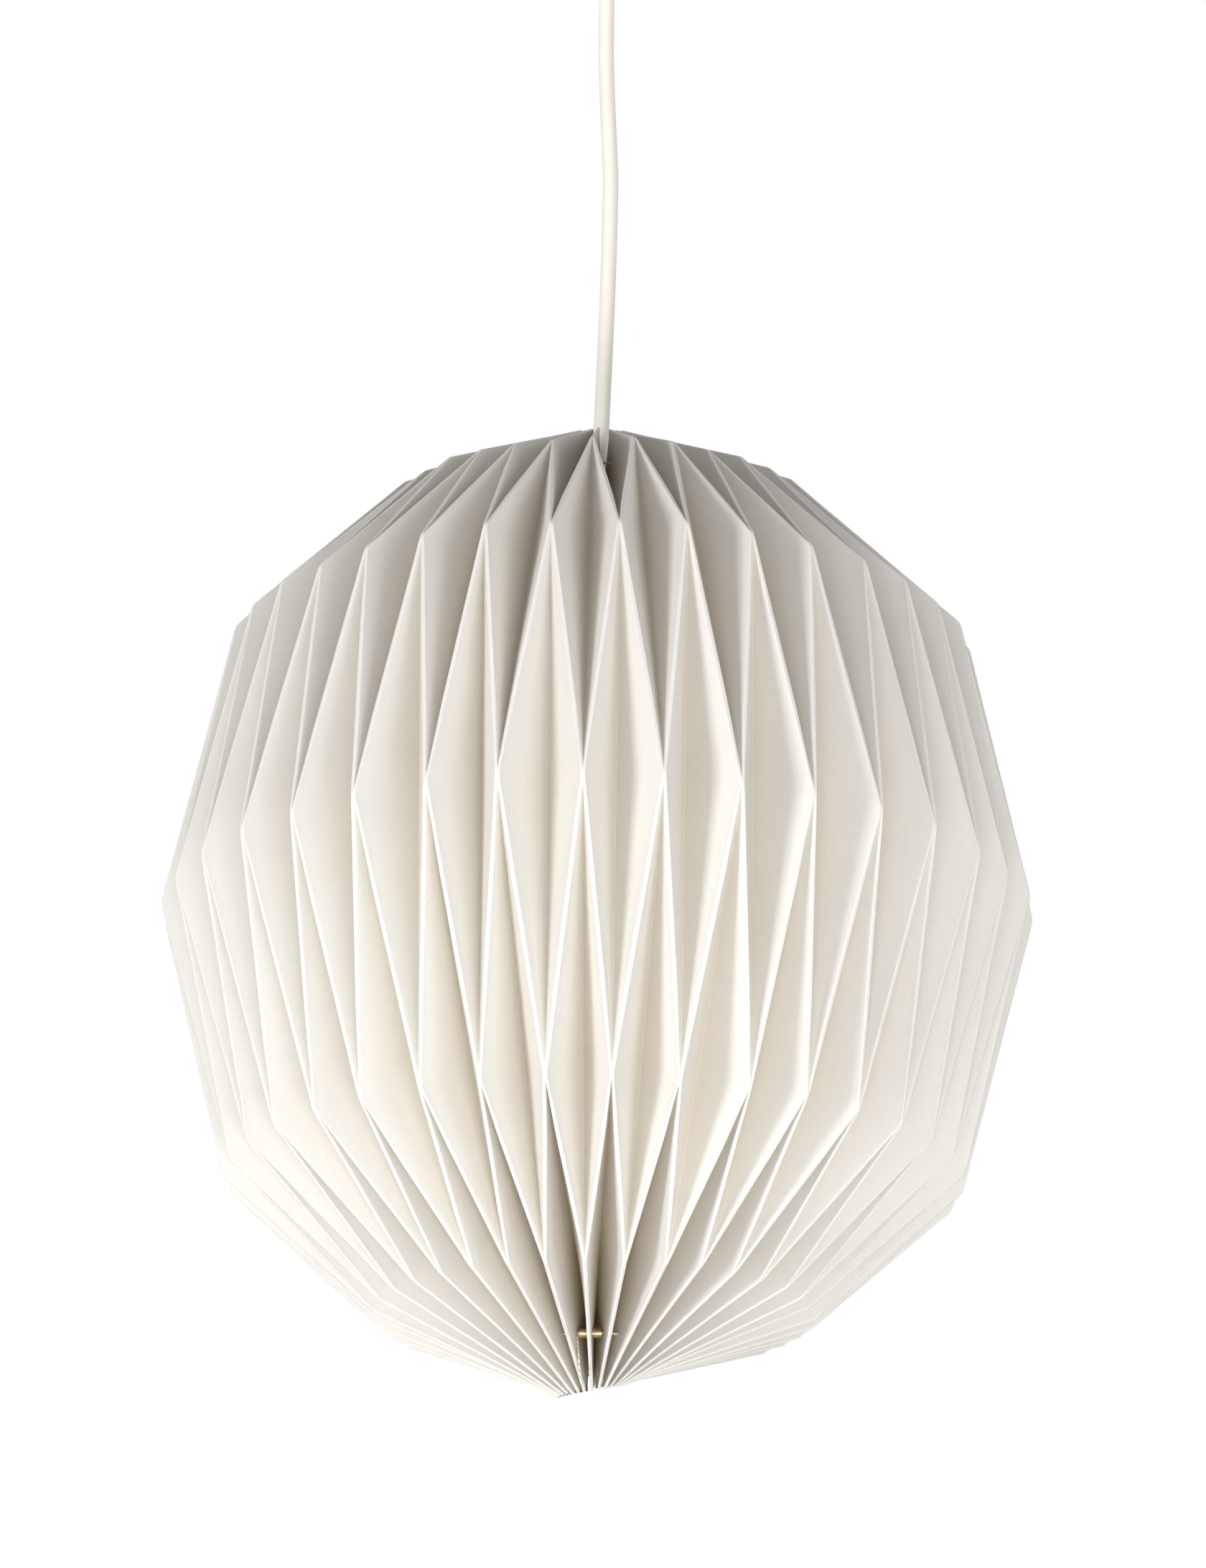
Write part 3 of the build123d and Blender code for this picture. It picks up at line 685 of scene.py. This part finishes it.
def leaf_faces(rows, columns):
    """Faces of a leaf: outer sheet, inner sheet and the four edges between them."""
    total = rows * columns
    grid = np.arange(total).reshape(rows, columns)
    a, b, c, d = grid[:-1, :-1], grid[:-1, 1:], grid[1:, 1:], grid[1:, :-1]
    outer = np.stack([a, d, c, b], -1).reshape(-1, 4)
    inner = np.stack([a, b, c, d], -1).reshape(-1, 4) + total

    def edge(line):
        e1, e2 = line[:-1], line[1:]
        return np.stack([e1, e1 + total, e2 + total, e2], -1)

    edges = [
        edge(grid[:, 0]),
        edge(grid[:, -1])[:, ::-1],
        edge(grid[0])[:, ::-1],
        edge(grid[-1]),
    ]
    return np.concatenate([outer, inner] + edges)


def paper_leaf(body, ring, normals, depth, faces):
    """body is leaf_<side>_<number>."""
    side, number = body.split("_")[1], int(body.split("_")[2])
    around = ring.shape[1]
    first = (number - 1) * LEAF_STEPS if side == "right" else around - number * LEAF_STEPS
    index = (first + np.arange(LEAF_STEPS + 1)) % around
    points, out = ring[:, index], normals[:, index]
    sheets = (points + out * THICKNESS / 2, points - out * THICKNESS / 2)
    verts = np.concatenate([sheet.reshape(-1, 3) for sheet in sheets]) * MM
    verts[:, 2] += SHADE_Z
    out = out.reshape(-1, 3)
    leaf = mesh_object(
        f"paper_{side}_{number}", verts, faces, normals=np.concatenate([out, -out])
    )
    # groove depth for the painted groove shade in the paper material; the inner sheet gets an even, middling
    # amount of painted shade
    groove = np.clip(depth[:, index].reshape(-1) / 2.4, 0, 1)
    groove = np.concatenate([groove, np.full(len(groove), 0.5)])
    attribute = leaf.data.attributes.new("of_depth", "FLOAT", "POINT")
    attribute.data.foreach_set("value", groove.astype(np.float32))
    dress(leaf, "paper")
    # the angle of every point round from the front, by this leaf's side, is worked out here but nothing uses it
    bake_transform(leaf)
    sign = 1.0 if side == "right" else -1.0
    angle = np.degrees(np.arctan2(verts[:, 0] * sign, -verts[:, 1]))
    if number >= 5:  # points just past the back belong above 180 degrees
        angle = np.where(angle < -60, angle + 360, angle)
    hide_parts(f"paper_leaf_{side}_{number}")


def build_shade():
    levels = sheet_levels()
    ring, depth, across, width = folded_ring(levels)
    ring = surface_detail(soften_rows(ring, levels), levels, across, width)
    normals = outward_normals(ring)
    faces = leaf_faces(len(levels), LEAF_STEPS + 1)
    for body in LEAF_BODIES:
        paper_leaf(body, ring, normals, depth, faces)


build_shade()

# ------------------------------------------------------------------ cord
cord_low, cord_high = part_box("pendant_cord")
CORD_RADIUS = (cord_high.x - cord_low.x) / 2
CORD_SIDES = 40


def cord_path(z0, z1, count):
    """A nearly straight path that waves a little below the pivot."""
    z = np.linspace(z0, z1, count)
    # an extra point close to each end
    tip = (z1 - z0) * 2e-4
    z = np.concatenate([z[:1], [z0 + tip], z[1:-1], [z1 - tip], z[-1:]])
    hang = np.clip((PIVOT_Z - z) / 0.06, 0, 1) * np.clip((z - cord_low.z) / 0.05, 0, 1)
    x = hang * (0.0026 * np.sin((z - SHADE_Z - 0.245) / 0.23 * math.pi))
    y = hang * 0.0008 * np.sin(z * 31)
    return np.stack([x, y, z], -1)


def build_cord():
    lower = sweep("cord_lower", cord_path(PIVOT_Z, cord_low.z, 160), CORD_RADIUS, CORD_SIDES)
    dress(lower, "cord")
    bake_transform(lower)
    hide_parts("pendant_cord")
    ceiling_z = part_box("cord_ceiling_end")[1].z
    upper = sweep("cord_upper", cord_path(ceiling_z, PIVOT_Z, 60), CORD_RADIUS, CORD_SIDES)
    dress(upper, "cord")
    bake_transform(upper)
    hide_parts("cord_ceiling_end", "cord_flex_section")


build_cord()


# ------------------------------------------------------------------ thread tail
def build_thread_tail():
    """Two plies twisted round each other."""
    twist_pitch, twist_radius, ply_radius = 0.0026, 0.00022, 0.00024
    low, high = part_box("thread_tail")
    path = smooth_curve(
        [
            (low.x + 0.0010, low.y + 0.0004, high.z - 0.0004),
            (low.x + 0.0003, low.y + 0.0006, high.z - 0.0022),
            (low.x + 0.0009, low.y + 0.0024, high.z - 0.0105),
            (high.x - 0.0007, high.y - 0.0004, low.z + 0.0003),
        ],
        steps=40,
    )
    lengths = np.linalg.norm(np.diff(path, axis=0), axis=1)
    distance = np.concatenate([[0], np.cumsum(lengths)])
    for k in range(2):
        angle = distance / twist_pitch * 2 * math.pi + k * math.pi
        offset = np.stack([np.cos(angle), np.sin(angle), np.zeros_like(angle)], -1)
        ply = sweep(f"thread_tail_ply_{k + 1}", path + twist_radius * offset, ply_radius, 10)
        dress(ply, "thread")
        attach(ply, "leaf_right_1")
    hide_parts("thread_tail")


build_thread_tail()


# ------------------------------------------------------------------ ceiling cup
def build_cup():
    """Smooth spun cup, open at the top, with a hole for the cord."""
    wall, hole, lip = 0.0014, 0.0061, 0.0004
    low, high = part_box("ceiling_cup")
    radius, top, bottom = high.x, high.z, low.z
    outer = smooth_curve(
        [  # (radius, z)
            (radius, top - 0.001),
            (radius, top - 0.018),
            (0.0465, -0.038),
            (0.0365, -0.0515),
            (0.022, -0.0585),
            (0.0115, bottom),
        ],
        steps=8,
    )
    inner = outer[::-1].copy()
    inner[:, 0] = np.maximum(inner[:, 0] - wall * 0.95, hole)
    lift = wall * np.clip((radius - inner[:, 0]) / radius * 1.3, 0, 1)
    inner[:, 1] = np.minimum(inner[:, 1] + lift, top - 0.001)
    profile = (
        [(radius - 0.0003, top), (radius, top - lip)]
        + outer.tolist()
        + [(hole, bottom), (hole, bottom + wall)]
        + inner[:-1].tolist()
        + [(radius - wall, top - lip), (radius - wall + 0.0003, top)]
    )
    cup = lathe("cup_shell", profile, count=160)
    dress(cup, "white_plastic")
    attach(cup, "cup")
    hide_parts("ceiling_cup")


build_cup()


# ------------------------------------------------------------------ stage, light and camera
def build_floor():
    half, z = 9, SHADE_Z - 1.25
    corners = [(-half, -half, z), (half, -half, z), (half, half, z), (-half, half, z)]
    floor = mesh_object("floor", corners, [(0, 1, 2, 3)], smooth=False)
    s = Surface("of_floor")
    tone = s.noise(scale=3, detail=3)
    s.set(
        Base_Color=s.ramp(tone, [(0.3, (0.86, 0.855, 0.845)), (0.7, (0.89, 0.885, 0.875))]),
        Roughness=0.8,
    )
    floor.data.materials.append(s.material)
    floor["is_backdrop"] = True


def build_world():
    """White to the camera; as a light, stronger from below than from above."""
    world = bpy.data.worlds.new("studio")
    bpy.context.scene.world = world
    world.use_nodes = True
    tree = world.node_tree
    tree.nodes.clear()
    seen = add_node(tree, "ShaderNodeBackground", {"Color": (1, 1, 1, 1), "Strength": 1.0})
    direction = add_node(tree, "ShaderNodeTexCoord").outputs["Generated"]
    split = add_node(tree, "ShaderNodeSeparateXYZ", {0: direction})
    strength = add_node(
        tree,
        "ShaderNodeMapRange",
        {
            "Value": split.outputs["Z"],
            "From Min": -1,
            "From Max": 1,
            "To Min": 0.75,
            "To Max": 0.38,
        },
    )
    ambient = add_node(
        tree,
        "ShaderNodeBackground",
        {"Color": (1.0, 0.996, 0.988, 1), "Strength": strength.outputs["Result"]},
    )
    camera_ray = add_node(tree, "ShaderNodeLightPath").outputs["Is Camera Ray"]
    mix = add_node(
        tree, "ShaderNodeMixShader", {0: camera_ray, 1: ambient.outputs[0], 2: seen.outputs[0]}
    )
    add_node(tree, "ShaderNodeOutputWorld", {"Surface": mix.outputs[0]})


def area_light(name, offset, size, power, colour):
    """A square light at an offset from the shade's middle, aimed at it."""
    data = bpy.data.lights.new(name, "AREA")
    data.size = size
    data.energy = power
    data.color = colour
    lamp = add_object(name, data)
    target = Vector((0, 0, SHADE_Z))
    lamp.location = target + Vector(offset)
    lamp.rotation_euler = (target - lamp.location).to_track_quat("-Z", "Y").to_euler()
    lamp.visible_camera = False
    lamp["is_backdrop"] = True


def build_lights():
    white, warm = (1.0, 0.998, 0.992), (1.0, 0.992, 0.975)
    area_light("key_left", offset=(-1.9, -1.75, -0.5), size=0.7, power=38.5, colour=white)
    area_light("fill_right", offset=(1.7, -1.9, -0.3), size=1.2, power=17, colour=white)
    area_light("bounce_low", offset=(0.2, -1.1, -1.3), size=1.0, power=37, colour=warm)


def build_camera():
    """In front of the shade, a little to the right, looking up at it."""
    distance = 2.5
    elevation, azimuth, roll = math.radians(-18.74), math.radians(2.2), math.radians(0.56)
    data = bpy.data.cameras.new("cam")
    camera = add_object("cam", data)
    bpy.context.scene.camera = camera
    target = Vector((0, 0, SHADE_Z - 0.0009))
    camera.location = target + distance * Vector(
        (
            math.sin(azimuth) * math.cos(elevation),
            -math.cos(azimuth) * math.cos(elevation),
            math.sin(elevation),
        )
    )
    aim = (target - camera.location).to_track_quat("-Z", "Y")
    camera.rotation_mode = "QUATERNION"
    camera.rotation_quaternion = aim @ Quaternion((0, 0, 1), roll)
    data.sensor_width = 36
    data.lens = 131.596154
    data.shift_x = 0.00338828
    data.shift_y = 0.08685897
    data.clip_start, data.clip_end = 0.05, 50


build_floor()
build_world()
build_lights()
build_camera()
bpy.context.scene.view_settings.view_transform = "Standard"


# ------------------------------------------------------------------ sizes and finish
def visual_box():
    lows, highs = [], []
    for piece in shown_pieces():
        points = np.empty(len(piece.data.vertices) * 3, np.float32)
        piece.data.vertices.foreach_get("co", points)
        matrix = np.array(piece.matrix_world)
        points = points.reshape(-1, 3) @ matrix[:3, :3].T + matrix[:3, 3]
        lows.append(points.min(0))
        highs.append(points.max(0))
    return [np.min(lows, 0).tolist(), np.max(highs, 0).tolist()]


visual_box()
